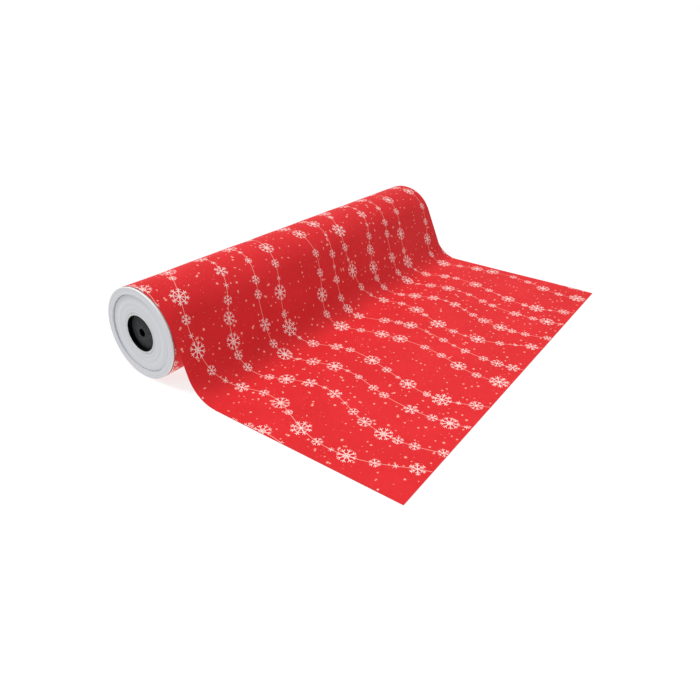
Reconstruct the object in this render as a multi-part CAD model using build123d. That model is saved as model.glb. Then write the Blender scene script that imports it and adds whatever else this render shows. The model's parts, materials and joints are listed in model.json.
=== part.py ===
from build123d import *
from math import cos, radians, sin
import os

# A counter roll of printed gift wrap, lying on a table with its free end drawn
# off the top and laid out flat. Millimetres, +Z up, table at Z = 0. The roll's
# axis runs along Y and the sheet leaves towards +X. The origin is on the table,
# in the middle of the whole object's footprint.

# Driving dimensions: the paper
paper_width = 500.0
paper_thickness = 0.1
roll_radius = 48.75
step_radius = 40.9          # the last laps start here, wound slightly to one side
side_step = 1.2             # how far those laps stand out at the near end

# Driving dimensions: the free end of the paper
leave_angle = 23.4          # where the paper leaves the roll, above horizontal
hug_angle = 4.0             # how far the sheet still lies on the roll before that
bend_radius = 38.0          # the hollow bend where the paper meets the table
pull_travel = 200.0         # one repeat of the printed pattern
pull_overlap = 6.0          # what still lies under the flat sheet after a full pull
layer_gap = 0.05            # play between layers that move over each other

# Driving dimensions: the 1.5 inch core and its end plugs
core_bore_radius = 19.05
core_wall = 2.5
tape_thickness = 0.25
tape_arc = 30.0
tape_end_margin = 15.0
plug_depth = 24.0
plug_wall = 0.7
plug_recess = 4.4           # how deep the plug's floor sits below its rim, at the wall
hub_mouth = 2.4             # and at the spindle hole: the floor is a shallow cone
plug_floor = 1.6
plug_lead_in = 0.35
hub_radius = 7.0
hub_length = 15.0
spindle_radius = 4.25
rib_count = 6
rib_thickness = 1.2

# Places that follow from the dimensions
flat_length = pull_travel + pull_overlap
core_radius = core_bore_radius + core_wall
pack_bore_radius = core_radius + tape_thickness
pack_radius = roll_radius - paper_thickness
sheet_radius = roll_radius + layer_gap
sheet_bottom = paper_thickness + layer_gap
near_shift = -side_step / 2
far_shift = side_step / 2

slope = 90.0 - leave_angle  # how steeply the paper comes down to the table
drop = (
    roll_radius
    + sheet_radius * sin(radians(leave_angle))
    - sheet_bottom
    - bend_radius * (1 - cos(radians(slope)))
)
straight_length = drop / sin(radians(slope))
foot_distance = (
    sheet_radius * cos(radians(leave_angle))
    + straight_length * cos(radians(slope))
    + bend_radius * sin(radians(slope))
)
axis_x = -(foot_distance + flat_length - roll_radius) / 2
axis_z = roll_radius
foot_x = axis_x + foot_distance


def on_roll_axis(shape, middle_y=0.0):
    """Move a shape made around the Y axis to the roll's axis."""
    return Pos(axis_x, middle_y, axis_z) * shape


def sleeve(outer_radius, inner_radius, length):
    """A plain ring around Y, centred on the origin."""
    ring = Circle(outer_radius) - Circle(inner_radius)
    return extrude(Plane.XZ * ring, amount=length / 2, both=True)


def make_core_tube():
    tube = sleeve(core_radius, core_bore_radius, paper_width)
    return on_roll_axis(tube, far_shift)


def make_start_tape():
    """The strip that holds the first edge of the paper to the core."""
    length = paper_width - 2 * tape_end_margin
    band = sleeve(pack_bore_radius, core_radius, length)
    reach = 2 * pack_bore_radius
    sector = make_face(
        Polyline(
            (0, 0),
            (reach, 0),
            (reach * cos(radians(tape_arc)), reach * sin(radians(tape_arc))),
            close=True,
        )
    )
    wedge = extrude(Plane.XZ * sector, amount=length, both=True)
    return on_roll_axis(band & wedge, far_shift)


def make_plug():
    """A cup that presses into the core: its rim is at Y = 0, its depth along +Y."""
    shell_bore = core_bore_radius - plug_wall
    floor_back = plug_recess + plug_floor
    hub_back = floor_back + hub_length
    outline = make_face(
        Polyline(
            (core_bore_radius, 0),
            (core_bore_radius, plug_depth - plug_lead_in),
            (core_bore_radius - plug_lead_in, plug_depth),
            (shell_bore, plug_depth),
            (shell_bore, floor_back),
            (hub_radius, floor_back),
            (hub_radius, hub_back),
            (spindle_radius, hub_back),
            (spindle_radius, hub_mouth),
            (shell_bore, plug_recess),
            (shell_bore, 0),
            close=True,
        )
    )
    cup = revolve(outline, axis=Axis.Y)
    rib_span = shell_bore - hub_radius + plug_wall
    rib_middle = (shell_bore + hub_radius) / 2
    rib = Box(rib_span, hub_length, rib_thickness)
    rib = Pos(rib_middle, floor_back + hub_length / 2, 0) * rib
    for index in range(rib_count):
        cup += Rot(0, index * 360.0 / rib_count, 0) * rib
    return cup


def make_near_core_plug():
    near_end = far_shift - paper_width / 2
    return on_roll_axis(make_plug(), near_end)


def make_far_core_plug():
    far_end = far_shift + paper_width / 2
    return on_roll_axis(Rot(180, 0, 0) * make_plug(), far_end)


def make_inner_paper_pack():
    pack = sleeve(step_radius, pack_bore_radius, paper_width)
    return on_roll_axis(pack, far_shift)


def make_outer_paper_pack():
    pack = sleeve(pack_radius, step_radius, paper_width)
    return on_roll_axis(pack, near_shift)


def make_outermost_lap():
    lap = sleeve(roll_radius, pack_radius, paper_width)
    return on_roll_axis(lap, far_shift)


def make_sheet_drape():
    """The sheet from the roll's side down to the table, as one bent strip."""
    bend_start = 270.0 - slope
    bend_centre = (foot_x, sheet_bottom + bend_radius)
    roll_centre = (axis_x, axis_z)
    hug_start = leave_angle + hug_angle
    upper_radius = sheet_radius + paper_thickness
    upper_bend = bend_radius - paper_thickness
    under_hug = CenterArc(roll_centre, sheet_radius, hug_start, -hug_angle)
    under_bend = CenterArc(bend_centre, bend_radius, bend_start, slope)
    over_bend = CenterArc(bend_centre, upper_bend, bend_start, slope)
    over_hug = CenterArc(roll_centre, upper_radius, hug_start, -hug_angle)
    outline = [
        under_hug,
        Line(under_hug @ 1, under_bend @ 0),
        under_bend,
        Line(under_bend @ 1, over_bend @ 1),
        over_bend,
        Line(over_bend @ 0, over_hug @ 1),
        over_hug,
        Line(over_hug @ 0, under_hug @ 0),
    ]
    strip = Plane.XZ * make_face(outline)
    drape = extrude(strip, amount=paper_width / 2, both=True)
    return Pos(0, far_shift, 0) * drape


def flat_paper(bottom_z):
    """One flat layer of paper from the foot of the bend to the free edge."""
    middle_x = foot_x + flat_length / 2
    middle_z = bottom_z + paper_thickness / 2
    layer = Box(flat_length, paper_width, paper_thickness)
    return Pos(middle_x, far_shift, middle_z) * layer


def make_sheet_flat():
    return flat_paper(sheet_bottom)


def make_paid_out_length():
    """The next length of paper, kept under the flat sheet until it is pulled."""
    return flat_paper(0.0)


nodes = {
    "core_tube": make_core_tube,
    "near_core_plug": make_near_core_plug,
    "far_core_plug": make_far_core_plug,
    "start_tape": make_start_tape,
    "inner_paper_pack": make_inner_paper_pack,
    "outer_paper_pack": make_outer_paper_pack,
    "outermost_lap": make_outermost_lap,
    "sheet_drape": make_sheet_drape,
    "sheet_flat": make_sheet_flat,
    "paid_out_length": make_paid_out_length,
}

os.makedirs("parts", exist_ok=True)
for name, make in nodes.items():
    export_step(make(), os.path.join("parts", name + ".step"))
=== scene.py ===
import json
import math
import random

import bpy
from mathutils import Matrix, Vector


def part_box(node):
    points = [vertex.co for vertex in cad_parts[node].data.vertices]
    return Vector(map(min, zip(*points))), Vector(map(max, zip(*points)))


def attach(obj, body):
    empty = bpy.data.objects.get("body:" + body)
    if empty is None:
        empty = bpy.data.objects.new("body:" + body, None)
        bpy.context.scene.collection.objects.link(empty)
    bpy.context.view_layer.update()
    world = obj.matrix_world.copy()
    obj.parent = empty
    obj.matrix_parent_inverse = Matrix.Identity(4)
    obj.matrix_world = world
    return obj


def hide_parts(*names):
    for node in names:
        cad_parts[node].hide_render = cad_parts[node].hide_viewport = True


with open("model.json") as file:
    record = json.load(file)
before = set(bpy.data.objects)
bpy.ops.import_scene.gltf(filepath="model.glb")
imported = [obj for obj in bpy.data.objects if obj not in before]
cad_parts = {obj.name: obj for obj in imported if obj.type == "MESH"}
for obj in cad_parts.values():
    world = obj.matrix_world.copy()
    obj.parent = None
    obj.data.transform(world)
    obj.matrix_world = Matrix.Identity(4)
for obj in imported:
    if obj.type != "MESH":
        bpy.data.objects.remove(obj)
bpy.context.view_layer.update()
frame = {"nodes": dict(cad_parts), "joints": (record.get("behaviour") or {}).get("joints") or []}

MM = 0.001

# ---------------------------------------------------------------- the frame
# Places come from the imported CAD. The web of paper is measured in millimetres
# along its length, from the free edge (0) over the drape and round the roll,
# and in millimetres across, from its near edge.

turn_joint = next(j for j in frame["joints"] if j["name"] == "roll_turn")
AXIS_X = turn_joint["pos_m"][0] / MM
AXIS_Z = turn_joint["pos_m"][2] / MM
ROLL_RADIUS = AXIS_Z

flat_low, flat_high = (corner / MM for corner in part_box("sheet_flat"))
outer_low, outer_high = (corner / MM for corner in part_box("outer_paper_pack"))
inner_low, inner_high = (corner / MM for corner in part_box("inner_paper_pack"))
core_low, core_high = (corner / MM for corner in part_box("core_tube"))
plug_low, plug_high = (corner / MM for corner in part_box("near_core_plug"))
leader_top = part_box("paid_out_length")[1].z / MM
tape_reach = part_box("start_tape")[1].x / MM

PAPER = flat_high.z - flat_low.z
NEAR_EDGE = flat_low.y
WIDTH = flat_high.y - flat_low.y
FOOT_X = flat_low.x
FREE_X = flat_high.x
LEAVE = math.radians(23.4)      # where the sheet leaves the roll
HUG = math.radians(4.0)         # how far it lies on the roll before that
LAYER_GAP = flat_low.z - leader_top

# The sheet's upper side: flat, a hollow bend, a straight fall and the hug.
sheet_radius = ROLL_RADIUS + LAYER_GAP + PAPER
leave_x = AXIS_X + sheet_radius * math.cos(LEAVE)
leave_z = AXIS_Z + sheet_radius * math.sin(LEAVE)
FLAT = FREE_X - FOOT_X
run = FOOT_X - leave_x
fall = leave_z - flat_high.z
# straight * (sin, cos) + bend * (cos, 1 - sin) = (run, fall), solved for both
steepness = math.sin(LEAVE) * (1 - math.sin(LEAVE)) - math.cos(LEAVE) ** 2
STRAIGHT = (run * (1 - math.sin(LEAVE)) - fall * math.cos(LEAVE)) / steepness
BEND_RADIUS = (fall * math.sin(LEAVE) - run * math.cos(LEAVE)) / steepness
BEND = BEND_RADIUS * (math.pi / 2 - LEAVE)
LEAVES_AT = FLAT + BEND + STRAIGHT
SHEET_END = LEAVES_AT + sheet_radius * HUG
INK_ROOM = 0.05                     # for the ink between the printed lap and the sheet
LAP_RADIUS = ROLL_RADIUS - INK_ROOM
LAP_START = LEAVES_AT + LAP_RADIUS * HUG / 2    # the lap's seam, hidden by the sheet's end
LAP_END = LAP_START + 2 * math.pi * LAP_RADIUS
PRESSED_DOWN = 0.13                 # how far the sheet's end sinks to the roll
FEATHERED = 0.8                     # share of its thickness that it loses there
SIDE_BAND = 0.9                     # bare paper beside the end ring, before the slit
SLIT = 0.9                          # dark gap between that band and the printed lap

# Waves across the paper, as (height, millimetres in a radian, phase)
ROLL_WAVES = ((0.09, 10.3, 0.4), (0.072, 17.1, 2.0), (0.081, 31.0, 4.1))
DRAPE_WAVES = ((0.30, 38.0, 0.7), (0.16, 15.0, 0.0))
BAND_DEPTH = 0.26                   # keeps every wave inside the roll's full radius
COCKLE_HEIGHT = 0.16
COCKLE_MIDDLE = 1.6                 # lifts the lowest cockle to the plain section
FLAT_EDGE = 30.0                    # the cockles die away this near to the free edge
DRAPE_FROM = 25.0                   # and turn into the drape's waves this far before the bend
TINY = 1e-9                         # below any real length


def smooth_step(low, high, value):
    t = min(1.0, max(0.0, (value - low) / (high - low)))
    return t * t * (3 - 2 * t)


def waves(parts, across):
    return sum(height * math.sin(across / length + phase) for height, length, phase in parts)


def gauge_bands(across):
    """How far the roll's surface lies inside its full radius: never outside."""
    return waves(ROLL_WAVES, across) - BAND_DEPTH


def cockle(along, across):
    """Soft lift of the free sheet above its plain section, in millimetres.

    Two ripples cross the flat sheet at a slant, one broad and one finer. Each
    divisor is the millimetres in a radian of the ripple.
    """
    ripple = math.sin(across / 27.0 + along / 61.0) * math.sin(along / 33.0 + 1.1)
    ripple += 0.6 * math.sin(across / 13.0 - along / 47.0 + 2.2)
    lying = COCKLE_HEIGHT * (COCKLE_MIDDLE + ripple) * smooth_step(0.0, FLAT_EDGE, along)
    hanging = waves(DRAPE_WAVES, across)
    on_drape = smooth_step(FLAT - DRAPE_FROM, FLAT + BEND * 0.6, along)
    on_roll = smooth_step(FLAT + BEND, LEAVES_AT, along)
    free = lying * (1 - on_drape) + hanging * on_drape
    pressed = smooth_step(LEAVES_AT, SHEET_END, along) * PRESSED_DOWN
    return free * (1 - on_roll) + gauge_bands(across) * on_roll - pressed


def sheet_thickness(along):
    """Paper thickness, feathered where the sheet runs into the roll's surface."""
    return PAPER * (1 - FEATHERED * smooth_step(LEAVES_AT, SHEET_END, along))


def even_thickness(along):
    """The hidden length is plain paper throughout."""
    return PAPER


def sheet_section(along):
    """Point and upward normal of the sheet's upper side, in the XZ plane."""
    if along <= FLAT:
        return FREE_X - along, flat_high.z, 0.0, 1.0
    if along <= FLAT + BEND:
        turn = (along - FLAT) / BEND_RADIUS
        side, up = math.sin(turn), math.cos(turn)
        x = FOOT_X - BEND_RADIUS * side
        z = flat_high.z + BEND_RADIUS * (1 - up)
        return x, z, side, up
    if along <= LEAVES_AT:
        back = LEAVES_AT - along
        side, up = math.cos(LEAVE), math.sin(LEAVE)
        return leave_x + back * up, leave_z - back * side, side, up
    angle = LEAVE + (along - LEAVES_AT) / sheet_radius
    side, up = math.cos(angle), math.sin(angle)
    return AXIS_X + sheet_radius * side, AXIS_Z + sheet_radius * up, side, up


def web_y(across, on_roll):
    """The web runs a touch narrower on the roll, clear of the end ring's band."""
    inset = (SIDE_BAND + SLIT) * on_roll
    return NEAR_EDGE + inset + across * (WIDTH - inset) / WIDTH


def lay_on_sheet(along, across, lift):
    x, z, side, up = sheet_section(along)
    lift += cockle(along, across)
    y = web_y(across, smooth_step(FLAT, LEAVES_AT, along))
    return Vector((x + side * lift, y, z + up * lift)) * MM


def lay_on_roll(along, across, lift):
    angle = LEAVE + (along - LEAVES_AT) / LAP_RADIUS
    radius = LAP_RADIUS + gauge_bands(across) + lift
    x = AXIS_X + radius * math.cos(angle)
    z = AXIS_Z + radius * math.sin(angle)
    return Vector((x, web_y(across, 1.0), z)) * MM


def lay_on_leader(along, across, lift):
    return Vector((FREE_X - along, NEAR_EDGE + across, leader_top + lift)) * MM


# ------------------------------------------------------------- mesh helpers

SHARP_ANGLE = math.radians(32.0)    # edges bent more than this are shaded sharp

# A sheet's materials, and where its texture holds them: the print at the left and
# the reverse at the right, with the cut edges as a strip above both
PRINTED, REVERSE, CUT = 0, 1, 2
PRINTED_SHARE = 0.76
REVERSE_FROM = 0.78
REVERSE_SHARE = 0.21
BOTH_HEIGHT = 0.95
STRIP_FROM = 0.97
STRIP_TO = 0.99
LONGEST_TEXTURE_STEP = 5.0          # a longer, plain stretch gets no more of the texture


def make_piece(name, points, faces, materials, slots, uvs, body):
    """A mesh object from plain lists. uvs has one (u, v) per face corner."""
    mesh = bpy.data.meshes.new(name)
    mesh.from_pydata(points, [], faces)
    for material in materials:
        mesh.materials.append(material)
    mesh.polygons.foreach_set("material_index", slots)
    mesh.polygons.foreach_set("use_smooth", [True] * len(faces))
    mesh.set_sharp_from_angle(angle=SHARP_ANGLE)
    layer = mesh.uv_layers.new(name="OFBake")
    layer.data.foreach_set("uv", [value for uv in uvs for value in uv])
    mesh.update()
    piece = bpy.data.objects.new(name, mesh)
    bpy.context.scene.collection.objects.link(piece)
    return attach(piece, body)


def steps(low, high, size):
    """Evenly spaced values from low to high, no further apart than size."""
    count = max(1, math.ceil((high - low) / size - TINY))
    return [low + (high - low) * i / count for i in range(count + 1)]


def paper_slab(name, lay, thickness, along, across, body):
    """A closed layer of paper: printed side up, bare reverse and cut edges."""
    rows, columns = len(along), len(across)
    points = [lay(s, c, 0.0) for s in along for c in across]
    points += [lay(s, c, -thickness(s)) for s in along for c in across]
    lower = rows * columns
    faces, slots, uvs = [], [], []

    def spot(i, j, under, slot):
        """A grid point's place in the texture."""
        if slot == CUT:
            return (i + j) / (rows + columns), STRIP_TO if under else STRIP_FROM
        share = i / (rows - 1)
        height = BOTH_HEIGHT * j / (columns - 1)
        if slot == REVERSE:
            return REVERSE_FROM + REVERSE_SHARE * share, height
        return PRINTED_SHARE * share, height

    def add(corners, slot):
        faces.append([(lower if under else 0) + i * columns + j for i, j, under in corners])
        slots.append(slot)
        for i, j, under in corners:
            uvs.append(spot(i, j, under, slot))

    for i in range(rows - 1):
        for j in range(columns - 1):
            square = [(i, j), (i, j + 1), (i + 1, j + 1), (i + 1, j)]
            add([(a, b, False) for a, b in square], PRINTED)
            add([(a, b, True) for a, b in reversed(square)], REVERSE)
    for i in range(rows - 1):
        last = columns - 1
        add([(i, 0, False), (i + 1, 0, False), (i + 1, 0, True), (i, 0, True)], CUT)
        add([(i + 1, last, False), (i, last, False), (i, last, True), (i + 1, last, True)], CUT)
    for j in range(columns - 1):
        last = rows - 1
        add([(0, j + 1, False), (0, j, False), (0, j, True), (0, j + 1, True)], CUT)
        add([(last, j, False), (last, j + 1, False), (last, j + 1, True), (last, j, True)], PRINTED)
    return make_piece(name, points, faces, [red_paper, bare, cut_edge_shade], slots, uvs, body)


def ring_lists(outline, segments, uneven=None):
    """A closed ring about the roll's axis. outline: (y, radius, slot) round a loop."""
    count = len(outline)
    points, faces, slots, uvs = [], [], [], []
    for k in range(segments):
        angle = 2 * math.pi * k / segments
        for y, radius, _ in outline:
            shift = uneven(y, radius, angle) if uneven else 0.0
            x = AXIS_X + radius * math.cos(angle)
            z = AXIS_Z + radius * math.sin(angle)
            points.append(Vector((x, y + shift, z)) * MM)
    length = [0.0]
    for i in range(count):
        y, radius, _ = outline[i]
        y2, radius2, _ = outline[(i + 1) % count]
        step = math.hypot(y2 - y, radius2 - radius)
        length.append(length[-1] + min(step, LONGEST_TEXTURE_STEP))
    for k in range(segments):
        k2 = (k + 1) % segments
        for i in range(count):
            i2 = (i + 1) % count
            faces.append([k * count + i, k * count + i2, k2 * count + i2, k2 * count + i])
            slots.append(outline[i][2])
            low, high = length[i] / length[-1], length[i + 1] / length[-1]
            left, right = k / segments, (k + 1) / segments
            uvs += [(left, low), (left, high), (right, high), (right, low)]
    return points, faces, slots, uvs


def lathe(name, outline, segments, materials, uneven=None):
    points, faces, slots, uvs = ring_lists(outline, segments, uneven)
    return make_piece(name, points, faces, materials, slots, uvs, "roll")


# ------------------------------------------------------- the printed pattern
# One repeat is 200 mm along the web by 260 mm across. A string of snowflakes is
# written from the free edge up, one letter every 8 mm: a kind of flake, or a
# point for bare string. Before it stand the string's place across the paper,
# how far it swings to each side and where along the repeat it swings furthest.

REPEAT_ALONG = 200.0
REPEAT_ACROSS = 260.0
BEAD_PITCH = 8.0
STRINGS = (
    (33.0, 15.0, 184.0, ".M.t.S..L.t.S..W..s.K..S."),
    (77.0, 14.0, 150.0, "S..S.S.L..m.S.t.M.t.M..L."),
    (121.0, 10.0, 152.0, "t.K.S..M...S.S..s.t.L..m."),
    (157.0, 13.0, 160.0, ".m.t.W.s..L.t.S..K...S.M."),
    (218.0, 10.0, 128.0, ".W..S..L..S..S...K..L..S."),
    (252.0, 10.0, 140.0, ".M.m.S..S.t.S..t..L.S.m.."),
)
STRING_WIDTH = 0.65
SMALL_SWING = 1.3        # of a string's second, quicker wave
FLAKE_NUDGE = 0.8        # how far a flake may stand from its letter's place
PRINT_REACH = 25.0       # no print reaches further along the web from its own place

# kind: size across, arms, line width, web radius as a share (0 for none), and
# the side branches as (place along the arm, length), both as shares of the arm
FLAKES = {
    "W": (21.0, 8, 0.74, 0.64, ((0.70, 0.27),)),
    "L": (18.0, 8, 0.66, 0.34, ((0.66, 0.34),)),
    "K": (18.5, 9, 0.62, 0.28, ((0.68, 0.31),)),
    "M": (15.0, 6, 0.64, 0.0, ((0.42, 0.34), (0.72, 0.30))),
    "m": (14.5, 8, 0.58, 0.0, ((0.66, 0.34),)),
    "S": (11.0, 6, 0.56, 0.0, ((0.55, 0.42),)),
    "s": (8.4, 8, 0.46, 0.0, ((0.64, 0.32),)),
    "t": (5.8, 6, 0.50, 0.0, ()),
}
BRANCH_ANGLE = math.radians(46.0)

# In line widths: a side branch, the radius of a flake's middle, where an arm
# starts and how far it stops short of the flake's edge
BRANCH_WIDTH = 0.85
MIDDLE_RADIUS = 0.8
ARM_STARTS = 0.6 * MIDDLE_RADIUS
ARM_STOPS_SHORT = 0.3
TIP_REACH = 0.6          # a stroke's rounded end, in half line widths
TIP_WIDTH = 0.55

DOTS_PER_REPEAT = 290
DOT_RADII = (0.45, 0.52, 0.6, 0.6, 0.7, 0.8, 0.95)
SPECKS_PER_REPEAT = 420
SPECK_RADII = (0.26, 0.32, 0.38)
TWIN_REACH = 2.3         # from a dot to its twin, in radii of the dot
TWIN_SIZE = 0.75
GLOW_SPREAD = 2.3        # how far a dot's glow reaches, in radii of the dot
SPECK_SIDES = 6
DOT_SIDES = 10
GLOW_SIDES = 12

# Height of each kind of ink over the paper. What crosses something lies above it.
INK_SINK = -0.012        # the ink's underside, just below the paper's surface
GLOW_LIFT = 0.010
SPECK_LIFT = 0.012
DOT_LIFT = 0.015
STRING_LIFT = 0.018
WEB_LIFT = 0.024
BRANCH_LIFT = 0.029
ARM_LIFT = 0.034
MIDDLE_LIFT = 0.038

STROKE_STEP = 1.8        # short enough to follow the roll
SHORTEST_PART = 0.02     # a clipped stroke with less than this share left is dropped
START_MARGIN = 0.5       # left bare at each edge of a stretch of the web
END_MARGIN = 0.3
SIDE_MARGIN = 0.5
STRING_MARGIN = 0.6      # and by the strings at the sides


class Ink:
    """Collects closed thin prints of one colour on one stretch of the web."""

    def __init__(self, lay, start, end):
        self.lay = lay
        self.start = start + START_MARGIN
        self.end = end - END_MARGIN
        self.points, self.faces, self.uvs = [], [], []
        self.corner_uv, self.middle = [], []

    def vertex(self, along, across, lift, middle=0.0):
        """middle is 1 at the centre of a disc and 0 elsewhere."""
        self.points.append(self.lay(along, across, lift))
        self.middle.append(middle)
        self.corner_uv.append((across / WIDTH, (along - self.start) / (self.end - self.start)))
        return len(self.points) - 1

    def face(self, *corners):
        self.faces.append(list(corners))
        self.uvs += [self.corner_uv[c] for c in corners]

    def clip(self, a, b):
        """The part of the line from a to b on this stretch of paper, or None."""
        low, high = 0.0, 1.0
        limits = ((0, self.start, self.end), (1, SIDE_MARGIN, WIDTH - SIDE_MARGIN))
        for axis, least, most in limits:
            step = b[axis] - a[axis]
            if abs(step) < TINY:
                if not least <= a[axis] <= most:
                    return None
                continue
            t1, t2 = sorted(((least - a[axis]) / step, (most - a[axis]) / step))
            low, high = max(low, t1), min(high, t2)
        if high - low < SHORTEST_PART:
            return None
        return low, high

    def strip(self, spine, lift):
        """A closed ribbon. spine: (along, across, half width) at each station."""
        rings = []
        last = len(spine) - 1
        for i, (along, across, half) in enumerate(spine):
            before, after = spine[max(0, i - 1)], spine[min(last, i + 1)]
            ds, dc = after[0] - before[0], after[1] - before[1]
            size = math.hypot(ds, dc) or 1.0
            ns, nc = -dc / size * half, ds / size * half
            rings.append([
                self.vertex(along + ns, across + nc, lift),
                self.vertex(along - ns, across - nc, lift),
                self.vertex(along - ns, across - nc, INK_SINK),
                self.vertex(along + ns, across + nc, INK_SINK),
            ])
        for a, b in zip(rings, rings[1:]):
            for k in range(4):
                self.face(a[k], b[k], b[(k + 1) % 4], a[(k + 1) % 4])
        self.face(*rings[0])
        self.face(*reversed(rings[-1]))

    def stroke(self, a, b, width, lift):
        """A straight line with rounded ends."""
        kept = self.clip(a, b)
        if kept is None:
            return
        ds, dc = b[0] - a[0], b[1] - a[1]
        length = math.hypot(ds, dc)
        half = width / 2
        spine = []
        for t in steps(kept[0], kept[1], STROKE_STEP / length):
            spine.append((a[0] + ds * t, a[1] + dc * t, half))
        tip = TIP_REACH * half / length
        if kept[0] == 0.0:
            spine.insert(0, (a[0] - ds * tip, a[1] - dc * tip, half * TIP_WIDTH))
        if kept[1] == 1.0:
            spine.append((b[0] + ds * tip, b[1] + dc * tip, half * TIP_WIDTH))
        self.strip(spine, lift)

    def disc(self, along, across, radius, lift, sides=DOT_SIDES):
        """A round dot, left out where it would run over the stretch's edges."""
        if not self.start + radius < along < self.end - radius:
            return
        if not radius + SIDE_MARGIN < across < WIDTH - radius - SIDE_MARGIN:
            return
        top, low = [], []
        for k in range(sides):
            angle = 2 * math.pi * k / sides
            s = along + radius * math.cos(angle)
            c = across + radius * math.sin(angle)
            top.append(self.vertex(s, c, lift))
            low.append(self.vertex(s, c, INK_SINK))
        middle = self.vertex(along, across, lift, 1.0)
        under = self.vertex(along, across, INK_SINK, 1.0)
        for k in range(sides):
            k2 = (k + 1) % sides
            self.face(top[k2], top[k], middle)
            self.face(low[k], low[k2], under)
            self.face(top[k], top[k2], low[k2], low[k])

    def piece(self, name, material, body):
        slots = [0] * len(self.faces)
        return make_piece(name, self.points, self.faces, [material], slots, self.uvs, body)


def draw_flake(ink, kind, along, across, turn):
    size, arms, width, web, branches = FLAKES[kind]
    radius = size / 2
    fine = width * BRANCH_WIDTH

    def at(distance, angle):
        return along + distance * math.cos(angle), across + distance * math.sin(angle)

    for k in range(arms):
        angle = turn + 2 * math.pi * k / arms
        next_angle = angle + 2 * math.pi / arms
        inner = at(width * ARM_STARTS, angle)
        outer = at(radius - width * ARM_STOPS_SHORT, angle)
        ink.stroke(inner, outer, width, ARM_LIFT)
        for place, length in branches:
            root = at(radius * place, angle)
            for side in (-1, 1):
                lean = angle + side * BRANCH_ANGLE
                reach = radius * length
                tip = root[0] + reach * math.cos(lean), root[1] + reach * math.sin(lean)
                ink.stroke(root, tip, fine, BRANCH_LIFT)
        if web:
            ink.stroke(at(radius * web, angle), at(radius * web, next_angle), fine, WEB_LIFT)
    ink.disc(along, across, width * MIDDLE_RADIUS, MIDDLE_LIFT)


def repeats(start, end):
    """The numbers of the repeats whose print may touch the stretch."""
    first = math.floor((start - PRINT_REACH) / REPEAT_ALONG)
    return range(first, math.ceil((end + PRINT_REACH) / REPEAT_ALONG))


def string_place(string, along):
    place, swing, furthest, _ = string
    phase = 2 * math.pi * (along - furthest) / REPEAT_ALONG
    return place + swing * math.cos(phase) + SMALL_SWING * math.sin(2 * phase + place)


def each_string():
    """Every string on the paper, as (string, shift across the paper)."""
    for copy in (-1, 0, 1):
        for string in STRINGS:
            yield string, copy * REPEAT_ACROSS


def print_flakes(ink):
    for string, shift in each_string():
        place, _, _, letters = string
        for number, kind in enumerate(letters):
            if kind == ".":
                continue
            chance = random.Random(number * 31 + int(place) * 7)
            turn = chance.uniform(0, math.pi)
            nudge = chance.uniform(-FLAKE_NUDGE, FLAKE_NUDGE)
            for repeat in repeats(ink.start, ink.end):
                along = repeat * REPEAT_ALONG + (number + 0.5) * BEAD_PITCH + nudge
                across = string_place(string, along) + shift
                draw_flake(ink, kind, along, across, turn)


def print_string_lines(ink):
    for string, shift in each_string():
        spine = []
        for along in steps(ink.start, ink.end, STROKE_STEP):
            across = string_place(string, along) + shift
            if STRING_MARGIN < across < WIDTH - STRING_MARGIN:
                spine.append((along, across, STRING_WIDTH / 2))
                continue
            if len(spine) > 1:
                ink.strip(spine, STRING_LIFT)
            spine = []
        if len(spine) > 1:
            ink.strip(spine, STRING_LIFT)


def scatter(count, radii, apart, seed, twins):
    """Dots in one repeat, as (along, across, radius). A share of them has a smaller twin."""
    chance = random.Random(seed)
    places = []
    while len(places) < count:
        along = chance.uniform(0, REPEAT_ALONG)
        across = chance.uniform(0, REPEAT_ACROSS)
        if any(math.hypot(along - a, across - c) < apart for a, c, _ in places):
            continue
        radius = chance.choice(radii)
        places.append((along, across, radius))
        if chance.random() < twins:
            way = chance.uniform(0, 2 * math.pi)
            reach = radius * TWIN_REACH
            twin_along = along + reach * math.cos(way)
            twin_across = across + reach * math.sin(way)
            places.append((twin_along, twin_across, radius * TWIN_SIZE))
    return places


DOTS = scatter(DOTS_PER_REPEAT, DOT_RADII, apart=4.8, seed=24, twins=0.22)
SPECKS = scatter(SPECKS_PER_REPEAT, SPECK_RADII, apart=2.5, seed=7, twins=0.25)


def each_place(places, ink):
    """Scattered places on every repeat the ink's stretch of paper touches."""
    for repeat in repeats(ink.start, ink.end):
        for copy in (-1, 0, 1):
            for along, across, radius in places:
                yield along + repeat * REPEAT_ALONG, across + copy * REPEAT_ACROSS, radius


def print_pattern(name, lay, start, end, body):
    """The whole print on one stretch of the web, one piece for each ink."""
    pink = Ink(lay, start, end)
    print_string_lines(pink)
    for along, across, radius in each_place(SPECKS, pink):
        pink.disc(along, across, radius, SPECK_LIFT, SPECK_SIDES)
    pink.piece(name + "_strings", string_ink, body)

    white = Ink(lay, start, end)
    print_flakes(white)
    white.piece(name + "_flakes", flake_ink, body)

    glow = Ink(lay, start, end)
    core = Ink(lay, start, end)
    for along, across, radius in each_place(DOTS, glow):
        glow.disc(along, across, radius * GLOW_SPREAD, GLOW_LIFT, GLOW_SIDES)
        core.disc(along, across, radius, DOT_LIFT)
    core.piece(name + "_dots", dot_ink, body)
    halo = glow.piece(name + "_glow", glow_ink, body)
    share = halo.data.attributes.new("glow", "FLOAT", "POINT")
    share.data.foreach_set("value", glow.middle)


# ---------------------------------------------------------------- materials

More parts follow.
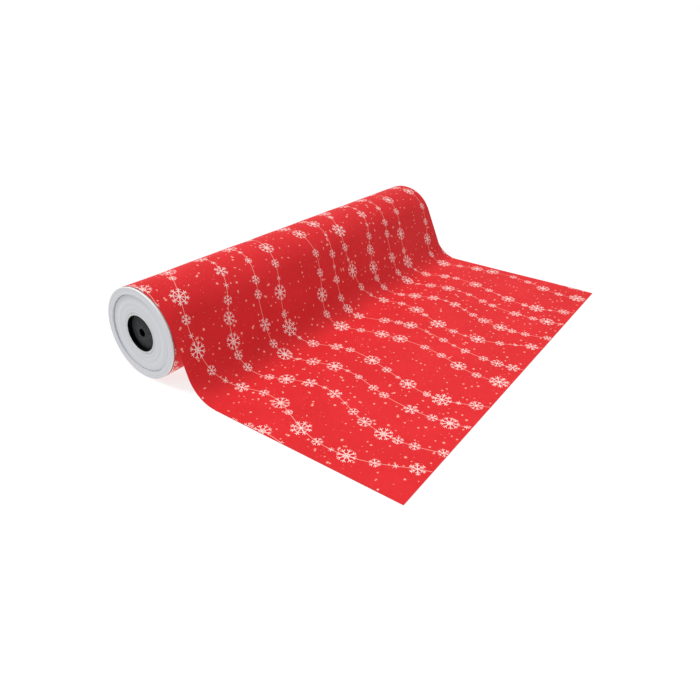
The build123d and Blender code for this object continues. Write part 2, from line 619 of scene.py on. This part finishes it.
class Nodes:
    """Short names for the shader nodes used here."""

    def __init__(self, name):
        self.material = bpy.data.materials.new(name)
        self.material.use_nodes = True
        self.tree = self.material.node_tree
        self.shader = self.tree.nodes["Principled BSDF"]
        self.place = self.tree.nodes.new("ShaderNodeTexCoord").outputs["Object"]

    def link(self, source, target):
        self.tree.links.new(source, target)

    def set(self, target, source):
        """source is another node's output, a number or a colour of three numbers."""
        if hasattr(source, "is_linked"):
            self.link(source, target)
        elif isinstance(source, tuple):
            target.default_value = (*source, 1.0)
        else:
            target.default_value = source

    def combine(self, operation, a, b=0.0):
        node = self.tree.nodes.new("ShaderNodeMath")
        node.operation = operation
        self.set(node.inputs[0], a)
        self.set(node.inputs[1], b)
        return node.outputs[0]

    def noise(self, scale, detail=4.0, roughness=0.5, place=None, stretch=None):
        node = self.tree.nodes.new("ShaderNodeTexNoise")
        node.inputs["Scale"].default_value = scale
        node.inputs["Detail"].default_value = detail
        node.inputs["Roughness"].default_value = roughness
        place = place or self.place
        if stretch:
            mapping = self.tree.nodes.new("ShaderNodeMapping")
            mapping.inputs["Scale"].default_value = stretch
            self.link(place, mapping.inputs["Vector"])
            place = mapping.outputs["Vector"]
        self.link(place, node.inputs["Vector"])
        return node.outputs["Fac"]

    def ramp(self, source, *stops):
        node = self.tree.nodes.new("ShaderNodeValToRGB")
        elements = node.color_ramp.elements
        while len(elements) < len(stops):
            elements.new(0.5)
        for element, (position, colour) in zip(elements, stops):
            element.position = position
            element.color = (*colour, 1.0)
        self.link(source, node.inputs["Fac"])
        return node.outputs["Color"]

    def mix(self, share, a, b):
        node = self.tree.nodes.new("ShaderNodeMix")
        node.data_type = "RGBA"
        self.set(node.inputs["Factor"], share)
        for name, colour in (("A", a), ("B", b)):
            socket = next(s for s in node.inputs if s.name == name and s.type == "RGBA")
            self.set(socket, colour)
        return next(s for s in node.outputs if s.type == "RGBA")

    def bump(self, height, distance, strength=1.0, under=None):
        node = self.tree.nodes.new("ShaderNodeBump")
        node.inputs["Strength"].default_value = strength
        node.inputs["Distance"].default_value = distance
        self.link(height, node.inputs["Height"])
        if under is not None:
            self.link(under, node.inputs["Normal"])
        return node.outputs["Normal"]

    def finish(self, colour, roughness, specular, normal=None):
        self.set(self.shader.inputs["Base Color"], colour)
        self.set(self.shader.inputs["Roughness"], roughness)
        self.set(self.shader.inputs["Specular IOR Level"], specular)
        if normal is not None:
            self.link(normal, self.shader.inputs["Normal"])
        return self.material


def srgb(red, green, blue):
    """A screen colour, 0 to 255, as linear light."""
    def linear(value):
        value /= 255
        return value / 12.92 if value <= 0.04045 else ((value + 0.055) / 1.055) ** 2.4
    return tuple(linear(value) for value in (red, green, blue))


def paper_grain(n):
    """Fine fibres and a soft tooth, as a bump."""
    fibres = n.noise(1400, 3.0, 0.6, stretch=(1.0, 0.35, 1.0))
    tooth = n.noise(420, 2.0, 0.5)
    return n.bump(fibres, 0.00003, 0.5, n.bump(tooth, 0.00005, 0.35))


def roughness_around(n, middle, spread):
    wobble = n.combine("SUBTRACT", n.noise(260, 3.0), 0.5)
    return n.combine("ADD", n.combine("MULTIPLY", wobble, spread), middle)


INK_SHINE = 0.09         # specular level of the printed side


def printed_red():
    """The paper's red ground: soft clouds of ink over a fine speckle."""
    n = Nodes("printed_red")
    cloud = n.noise(16, 3.0, 0.55)
    speck = n.noise(700, 3.0, 0.7)
    red = n.ramp(cloud, (0.32, srgb(218, 41, 45)), (0.68, srgb(229, 47, 52)))
    grain = n.ramp(speck, (0.40, srgb(189, 24, 30)), (0.60, srgb(237, 56, 60)))
    colour = n.mix(0.16, red, grain)
    return n.finish(colour, roughness_around(n, 0.56, 0.14), INK_SHINE, paper_grain(n))


def bare_paper():
    """The reverse, and the sides of the end ring's laps."""
    n = Nodes("bare_paper")
    cloud = n.noise(60, 4.0, 0.6)
    colour = n.ramp(cloud, (0.3, srgb(234, 231, 229)), (0.7, srgb(246, 244, 242)))
    return n.finish(colour, roughness_around(n, 0.75, 0.12), 0.25, paper_grain(n))


def shaded_cut_paper_edge():
    """The sheet's cut edge: the paper's core, coloured a dark red-brown that is painted shade along
    the edge.
    """
    n = Nodes("cut_edge_shade")
    fibres = n.noise(900, 3.0, 0.6)
    # painted shade: the dark red-brown stands in for the shade and the thin shadow along the sheet's
    # cut edge
    colour = n.ramp(fibres, (0.35, srgb(150, 66, 66)), (0.65, srgb(186, 110, 106)))
    return n.finish(colour, roughness_around(n, 0.8, 0.1), 0.15)


def wound_edges():
    """The cut edges of hundreds of laps: fine rings about the roll's axis, darker at the gaps
    between laps as painted shade and lighter on the lit edges as painted light.
    """
    n = Nodes("wound_edges")
    split = n.tree.nodes.new("ShaderNodeSeparateXYZ")
    n.link(n.place, split.inputs[0])
    x = n.combine("SUBTRACT", split.outputs["X"], AXIS_X * MM)
    z = n.combine("SUBTRACT", split.outputs["Z"], AXIS_Z * MM)
    squares = n.combine("ADD", n.combine("MULTIPLY", x, x), n.combine("MULTIPLY", z, z))
    radius = n.combine("SQRT", squares)
    join = n.tree.nodes.new("ShaderNodeCombineXYZ")
    n.link(radius, join.inputs["X"])
    rings = n.noise(1300, 2.0, 0.6, place=join.outputs[0])
    broad = n.noise(260, 2.0, 0.5, place=join.outputs[0])
    patches = n.noise(45, 3.0, 0.5)
    fine_share = n.combine("MULTIPLY", rings, 0.75)
    broad_share = n.combine("MULTIPLY", broad, 0.25)
    shade = n.combine("ADD", fine_share, broad_share)
    # painted shade in the gaps between laps and painted light on the lit edges of the rings
    shaded_gap, edge, lit_edge = srgb(168, 169, 175), srgb(205, 206, 211), srgb(219, 220, 223)
    colour = n.ramp(shade, (0.30, shaded_gap), (0.48, edge), (0.62, lit_edge))
    colour = n.mix(n.combine("MULTIPLY", patches, 0.25), colour, srgb(199, 201, 205))
    normal = n.bump(shade, 0.00012, 0.5)
    return n.finish(colour, roughness_around(n, 0.8, 0.1), 0.2, normal)


def core_board():
    """Grey board, with the fibres along the core and darker flecks."""
    n = Nodes("core_board")
    fibres = n.noise(240, 5.0, 0.65, stretch=(1.0, 0.3, 1.0))
    flecks = n.noise(900, 2.0, 0.7)
    colour = n.ramp(fibres, (0.3, srgb(200, 200, 202)), (0.7, srgb(224, 224, 226)))
    colour = n.mix(n.combine("MULTIPLY", flecks, 0.25), colour, srgb(176, 175, 174))
    normal = n.bump(fibres, 0.00008, 0.6)
    return n.finish(colour, roughness_around(n, 0.85, 0.1), 0.2, normal)


def shaded_moulded_black():
    """The plug's smooth moulded walls: black plastic, made near-black as painted shade of the
    recess, darker than the floor.
    """
    n = Nodes("shaded_moulded_black")
    grain = n.noise(1600, 2.0, 0.6)
    flow = n.noise(70, 3.0, 0.6)
    # painted shade: the walls' near-black stands in for the shade inside the plug's recess
    colour = n.ramp(flow, (0.3, srgb(3, 3, 4)), (0.7, srgb(8, 8, 9)))
    normal = n.bump(grain, 0.00003, 0.4)
    return n.finish(colour, roughness_around(n, 0.44, 0.16), 0.05, normal)


def textured_black():
    """The plug's floor: an eroded mould texture, in a lighter black than the walls with their
    painted shade.
    """
    n = Nodes("textured_black")
    pits = n.noise(640, 4.0, 0.75)
    colour = n.ramp(pits, (0.34, srgb(12, 13, 14)), (0.66, srgb(66, 68, 70)))
    normal = n.bump(pits, 0.00025, 0.6)
    return n.finish(colour, roughness_around(n, 0.62, 0.1), 0.2, normal)


def clear_tape():
    """Yellowed adhesive tape; it lies out of sight on the core."""
    n = Nodes("clear_tape")
    cloud = n.noise(90, 4.0, 0.6)
    colour = n.ramp(cloud, (0.3, srgb(214, 204, 168)), (0.7, srgb(232, 225, 196)))
    return n.finish(colour, roughness_around(n, 0.3, 0.1), 0.5)


def ink(name, light, dark):
    """Printing ink: lets a little of the paper's fibres through."""
    n = Nodes(name)
    mottle = n.noise(800, 3.0, 0.6)
    colour = n.ramp(mottle, (0.35, dark), (0.6, light))
    return n.finish(colour, roughness_around(n, 0.56, 0.12), INK_SHINE, paper_grain(n))


def glowing_ink():
    """A dot's soft halo: warm in the middle, fading to the red of the paper."""
    n = Nodes("glow_ink")
    share = n.tree.nodes.new("ShaderNodeAttribute")
    share.attribute_name = "glow"
    mottle = n.noise(800, 3.0, 0.6)
    middle = n.combine("ADD", share.outputs["Fac"], n.combine("MULTIPLY", mottle, 0.06))
    rim, halo, heart = srgb(224, 43, 48), srgb(240, 88, 81), srgb(252, 160, 144)
    colour = n.ramp(middle, (0.03, rim), (0.42, halo), (0.8, heart))
    return n.finish(colour, roughness_around(n, 0.56, 0.12), INK_SHINE, paper_grain(n))


red_paper = printed_red()
bare = bare_paper()
cut_edge_shade = shaded_cut_paper_edge()
edges = wound_edges()
board = core_board()
shaded_plastic = shaded_moulded_black()
plug_floor = textured_black()
flake_ink = ink("flake_ink", srgb(255, 236, 230), srgb(254, 216, 210))
string_ink = ink("string_ink", srgb(252, 172, 160), srgb(244, 144, 134))
glow_ink = glowing_ink()
dot_ink = ink("dot_ink", srgb(255, 200, 186), srgb(252, 170, 158))

# -------------------------------------------------------------- paper pieces

GRID = 5.0               # cell of the paper's grid, finer the more it bends
BEND_GRID = 1.3
DRAPE_GRID = 4.0
HUG_GRID = 0.9
HIDDEN_GRID = 10.0

across_steps = steps(0.0, WIDTH, GRID)
along_steps = steps(0.0, FLAT, GRID)
along_steps += steps(FLAT, FLAT + BEND, BEND_GRID)[1:]
along_steps += steps(FLAT + BEND, LEAVES_AT, DRAPE_GRID)[1:]
along_steps += steps(LEAVES_AT, SHEET_END, HUG_GRID)[1:]
sheet_grid = (along_steps, across_steps)
free_sheet = paper_slab("free_sheet", lay_on_sheet, sheet_thickness, *sheet_grid, "sheet")
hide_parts("sheet_drape", "sheet_flat")

leader_grid = (steps(0.0, FLAT, HIDDEN_GRID), across_steps)
leader = paper_slab("paid_out_sheet", lay_on_leader, even_thickness, *leader_grid, "leader")
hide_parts("paid_out_length")

print_pattern("sheet_print", lay_on_sheet, 0.0, SHEET_END, "sheet")
print_pattern("roll_print", lay_on_roll, LAP_START, LAP_END, "roll")
print_pattern("leader_print", lay_on_leader, 0.0, FLAT, "leader")

# ------------------------------------------------------------ the wound roll

LAP_SIDES = 240          # facets round each piece
PACK_SIDES = 192
CORE_SIDES = 160
PLUG_SIDES = 96

EDGES, SIDE = 0, 1       # materials of the wound packs: cut edges, and a lap's bare side
SHOULDER = 1.1           # width of the groove where the inner laps fall back at the step
GROOVE = ((0.25, 0.6), (0.7, 0.3), (1.2, 0.0))      # its depth, and the share of width left
FAR_SHOULDER = 0.3
RIM_INSET = 0.35         # how far the end ring lies inside the pack's full radius
RIM_ROUND = 0.35         # worn rounding on its outer corner
SLIT_DEPTH = 1.3
SLIT_LEAN = 0.05         # its near wall is this far from square, its far wall twice that
UNDERCUT = 1.0           # how far its floor runs on under the printed lap
LAP_ROOM = 0.4           # how far the laps under the printed one lie below the end ring
LAP_BUNDLE = 0.4         # an end face is turned in bundles of laps this thick
SET_BACK = 0.05          # of the whole end face
DRIFT = 0.02             # of a bundle from the last one, and the share that carries on
DRIFT_KEPT = 0.7
UNEVEN = 0.03            # of each bundle by itself
PLIES = 5
PLY_GROOVE = 0.1
plug_radius = (plug_high.z - plug_low.z) / 2
step_radius = (inner_high.z - inner_low.z) / 2
pack_bore = tape_reach - AXIS_X


def lap_outline():
    """The outermost lap: a thin tube that follows the gauge bands."""
    over, under = [], []
    for across in across_steps:
        y = web_y(across, 1.0)
        radius = LAP_RADIUS + gauge_bands(across)
        over.append((y, radius, PRINTED))
        under.append((y, radius - PAPER, REVERSE))
    over[-1] = (*over[-1][:2], REVERSE)     # the far cut edge
    return over + list(reversed(under))


def ring_faces(low_radius, high_radius, y, outward, seed):
    """A wound end face, from low to high radius, each lap a little proud or shy."""
    chance = random.Random(seed)
    outline, drift = [], 0.0
    for radius in steps(low_radius, high_radius, LAP_BUNDLE):
        drift = DRIFT_KEPT * drift + chance.uniform(-DRIFT, DRIFT)
        height = drift + chance.uniform(-UNEVEN, UNEVEN) - SET_BACK
        outline.append((y + outward * height, radius, EDGES))
    return outline


def lap_wobble(y, radius, angle):
    """Laps wander a little sideways as they go round."""
    return 0.04 * math.sin(3 * angle + radius * 0.9) + 0.03 * math.sin(7 * angle - radius * 2.3)


def inner_pack_outline():
    """The laps up to the step, where a groove parts them from the end ring."""
    near = ring_faces(pack_bore, step_radius - SHOULDER, inner_low.y, outward=-1, seed=3)
    for depth, share in GROOVE:
        near.append((inner_low.y + depth, step_radius - SHOULDER * share, EDGES))
    far = ring_faces(pack_bore, step_radius - FAR_SHOULDER, inner_high.y, outward=1, seed=4)
    return near + list(reversed(far))


def outer_pack_outline():
    """The laps from the step out, with the end ring, its bare band and the slit."""
    rim = ROLL_RADIUS - PAPER - RIM_INSET
    near = ring_faces(step_radius, rim - RIM_ROUND, outer_low.y, outward=-1, seed=5)
    near.append((outer_low.y + RIM_ROUND * 0.3, rim - RIM_ROUND * 0.3, SIDE))
    near.append((outer_low.y + RIM_ROUND, rim, SIDE))
    slit = NEAR_EDGE + SIDE_BAND
    slit_end = slit + SLIT + UNDERCUT
    floor = rim - SLIT_DEPTH
    near += [(slit, rim, EDGES), (slit + SLIT_LEAN, floor, EDGES), (slit_end, floor, EDGES)]
    near.append((slit_end + 2 * SLIT_LEAN, rim - LAP_ROOM, EDGES))
    far = ring_faces(step_radius, rim - LAP_ROOM, outer_high.y, outward=1, seed=6)
    return near + list(reversed(far))


def core_outline():
    """The tube's wall, with a fine groove between its plies at each end."""
    outer = (core_high.z - core_low.z) / 2
    ends = []
    for y, inward in ((core_low.y, 1), (core_high.y, -1)):
        groove = y + inward * PLY_GROOVE
        end = []
        for k in range(PLIES):
            low = plug_radius + (outer - plug_radius) * k / PLIES
            high = plug_radius + (outer - plug_radius) * (k + 1) / PLIES
            end += [(groove, low, 0), (y, low + PLY_GROOVE, 0), (y, high - PLY_GROOVE, 0)]
        end.append((groove, outer, 0))
        ends.append(end)
    near, far = ends
    return near + list(reversed(far))


# The end plug, measured from its rim into the core.
PLUG_WALL = 0.7
PLUG_RECESS = 4.4        # the floor beside the wall
HUB_MOUTH = 2.4          # the floor round the spindle hole, which it rises to as a cone
PLUG_FLOOR = 1.6
HUB_RADIUS = 7.0
HUB_LENGTH = 15.0
SPINDLE_RADIUS = 4.25
RIBS = 6
RIB_THICKNESS = 1.2
RIB_BITE = 0.2           # how far a rib runs into the hub and the floor
LIP = 0.15               # the rim's lip covers the inner edge of the core
LIP_HEIGHT = 0.3
LIP_SEAT = 0.02          # from the lip's underside to the core
LIP_CORNER = 0.1
MOUTH_CORNER = 0.2
EASED = 0.15             # the other moulded corners
LEAD_IN = 0.4            # chamfer on the end that goes in first
RIB_PATCH = ((0.02, 0.02), (0.02, 0.04), (0.04, 0.04), (0.04, 0.02))    # plain texture


def plug_outline():
    """Round the cup's section: (depth from the rim, radius, slot)."""
    depth = plug_high.y - plug_low.y
    bore = plug_radius - PLUG_WALL
    back = PLUG_RECESS + PLUG_FLOOR
    wall, floor = 0, 1
    lip = [(-LIP_HEIGHT * 0.6, plug_radius + LIP, wall), (-LIP_SEAT, plug_radius + LIP, wall)]
    outside = [(-LIP_SEAT, plug_radius, wall), (depth - LEAD_IN, plug_radius, wall)]
    outside.append((depth, plug_radius - LEAD_IN, wall))
    inside = [(depth, bore, wall), (back, bore, wall), (back, HUB_RADIUS, wall)]
    hub = [(back + HUB_LENGTH, HUB_RADIUS, wall), (back + HUB_LENGTH, SPINDLE_RADIUS, wall)]
    mouth = [(HUB_MOUTH + EASED, SPINDLE_RADIUS, wall), (HUB_MOUTH, SPINDLE_RADIUS + EASED, floor)]
    dish = [(PLUG_RECESS, bore - EASED, wall), (PLUG_RECESS - EASED, bore, wall)]
    dish.append((MOUTH_CORNER, bore, wall))
    rim = [(-LIP_HEIGHT * 0.8, bore + EASED, wall), (-LIP_HEIGHT, bore + 2 * EASED, wall)]
    rim.append((-LIP_HEIGHT, plug_radius - LIP_CORNER, wall))
    return lip + outside + inside + hub + mouth + dish + rim


def add_ribs(points, faces, slots, uvs, place):
    """Stiffening ribs behind the plug's floor, from the hub out to the wall."""
    back = PLUG_RECESS + PLUG_FLOOR
    depths = (back - RIB_BITE, back + HUB_LENGTH)
    reaches = (HUB_RADIUS - RIB_BITE, plug_radius - PLUG_WALL / 2)
    corners = [(reach, side, depth) for depth in depths for reach in reaches for side in (-0.5, 0.5)]
    sides = ((0, 1, 3, 2), (4, 6, 7, 5), (0, 4, 5, 1), (2, 3, 7, 6), (0, 2, 6, 4), (1, 5, 7, 3))
    for rib in range(RIBS):
        angle = 2 * math.pi * rib / RIBS
        first = len(points)
        for reach, side, depth in corners:
            across = side * RIB_THICKNESS
            x = reach * math.cos(angle) - across * math.sin(angle)
            z = reach * math.sin(angle) + across * math.cos(angle)
            points.append(place(x, depth, z))
        for side in sides:
            faces.append([first + corner for corner in side])
            slots.append(0)
            uvs += RIB_PATCH


def make_plug(name, node, rim_y, inward):
    """inward is 1 for the near plug, whose depth runs along +Y, and -1 for the far one."""
    outline = [(rim_y + inward * depth, radius, slot) for depth, radius, slot in plug_outline()]
    points, faces, slots, uvs = ring_lists(outline, PLUG_SIDES)

    def place(x, depth, z):
        return Vector((AXIS_X + x, rim_y + inward * depth, AXIS_Z + z)) * MM

    add_ribs(points, faces, slots, uvs, place)
    if inward < 0:
        faces = [list(reversed(face)) for face in faces]
        uvs = [uv for i in range(0, len(uvs), 4) for uv in reversed(uvs[i:i + 4])]
    plug = make_piece(name, points, faces, [shaded_plastic, plug_floor], slots, uvs, "roll")
    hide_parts(node)


lap = lathe("printed_lap", lap_outline(), LAP_SIDES, [red_paper, bare])
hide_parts("outermost_lap")

inner_pack = lathe("inner_wound_paper", inner_pack_outline(), PACK_SIDES, [edges], lap_wobble)
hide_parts("inner_paper_pack")

outer_pack = lathe("outer_wound_paper", outer_pack_outline(), PACK_SIDES, [edges, bare], lap_wobble)
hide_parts("outer_paper_pack")

core = lathe("core_wall", core_outline(), CORE_SIDES, [board])
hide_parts("core_tube")

make_plug("near_plug", "near_core_plug", plug_low.y, 1)
make_plug("far_plug", "far_core_plug", core_high.y, -1)

tape_mesh = frame["nodes"]["start_tape"].data
tape_mesh.materials.clear()
tape_mesh.materials.append(clear_tape())

# --------------------------------------------------- floor, light and camera

FLOOR_REACH = 12.0
FLOOR_DROP = 0.0002      # keeps the floor clear of the paper that lies on it
FLOOR_GLOW = 0.75        # whitens the floor
ROOM_LIGHT = 0.62        # the white room's light on the object
ROOM_SEEN = 1.0          # and its brightness behind it


def studio_floor():
    far = FLOOR_REACH
    points = [(-far, -far, 0), (far, -far, 0), (far, far, 0), (-far, far, 0)]
    mesh = bpy.data.meshes.new("studio_floor")
    mesh.from_pydata(points, [], [(0, 1, 2, 3)])
    n = Nodes("studio_floor")
    colour = n.ramp(n.noise(3, 2.0), (0.3, (0.25, 0.25, 0.25)), (0.7, (0.27, 0.27, 0.27)))
    n.set(n.shader.inputs["Emission Color"], (1.0, 1.0, 1.0))
    n.set(n.shader.inputs["Emission Strength"], FLOOR_GLOW)
    mesh.materials.append(n.finish(colour, 0.9, 0.0))
    floor = bpy.data.objects.new("studio_floor", mesh)
    floor.location.z = -FLOOR_DROP
    bpy.context.scene.collection.objects.link(floor)


def sun(name, strength, spread, direction):
    """A soft distant light. direction points from the object to the light."""
    lamp = bpy.data.lights.new(name, "SUN")
    lamp.energy = strength
    lamp.angle = math.radians(spread)
    holder = bpy.data.objects.new(name, lamp)
    holder.rotation_mode = "QUATERNION"
    holder.rotation_quaternion = Vector(direction).to_track_quat("Z", "Y")
    bpy.context.scene.collection.objects.link(holder)


def studio_light():
    world = bpy.data.worlds.new("studio")
    world.use_nodes = True
    tree = world.node_tree
    background = tree.nodes["Background"]
    background.inputs["Color"].default_value = (1.0, 1.0, 1.0, 1.0)
    rays = tree.nodes.new("ShaderNodeLightPath")
    level = tree.nodes.new("ShaderNodeMapRange")
    level.inputs["To Min"].default_value = ROOM_LIGHT
    level.inputs["To Max"].default_value = ROOM_SEEN
    tree.links.new(rays.outputs["Is Camera Ray"], level.inputs["Value"])
    tree.links.new(level.outputs["Result"], background.inputs["Strength"])
    bpy.context.scene.world = world
    sun("key", strength=1.85, spread=16.0, direction=(-0.45, -0.25, 0.857))


# The photograph's viewpoint, from below the roll's near end, in roll radii
VIEWPOINT = Vector((9.641, -6.416, 6.870))
YAW = math.radians(-34.79)
PITCH = math.radians(26.31)
TILT = math.radians(1.41)
SENSOR = 36.0
FOCAL_LENGTH = 0.871     # in sensor widths, and so are the shifts
SHIFT_X = -0.002
SHIFT_Y = -0.0501
NEAREST_SEEN = 0.01
FARTHEST_SEEN = 100.0


def studio_camera():
    radius = (ROLL_RADIUS + PAPER) * MM
    origin = Vector((AXIS_X * MM, outer_low.y * MM, 0.0))
    level = Vector((math.sin(YAW), math.cos(YAW), 0.0))
    ahead = math.cos(PITCH) * level - Vector((0.0, 0.0, math.sin(PITCH)))
    flat_right = Vector((math.cos(YAW), -math.sin(YAW), 0.0))
    flat_up = flat_right.cross(ahead)
    right = math.cos(TILT) * flat_right + math.sin(TILT) * flat_up
    up = math.cos(TILT) * flat_up - math.sin(TILT) * flat_right
    lens = bpy.data.cameras.new("camera")
    lens.sensor_width = SENSOR
    lens.lens = SENSOR * FOCAL_LENGTH
    lens.shift_x = SHIFT_X
    lens.shift_y = SHIFT_Y
    lens.clip_start = NEAREST_SEEN
    lens.clip_end = FARTHEST_SEEN
    camera = bpy.data.objects.new("camera", lens)
    turn = Matrix((right, up, -ahead)).transposed().to_4x4()
    camera.matrix_world = Matrix.Translation(origin + VIEWPOINT * radius) @ turn
    bpy.context.scene.collection.objects.link(camera)
    bpy.context.scene.camera = camera


studio_floor()
studio_light()
studio_camera()
scene = bpy.context.scene
scene.view_settings.view_transform = "Standard"
scene.view_settings.look = "None"
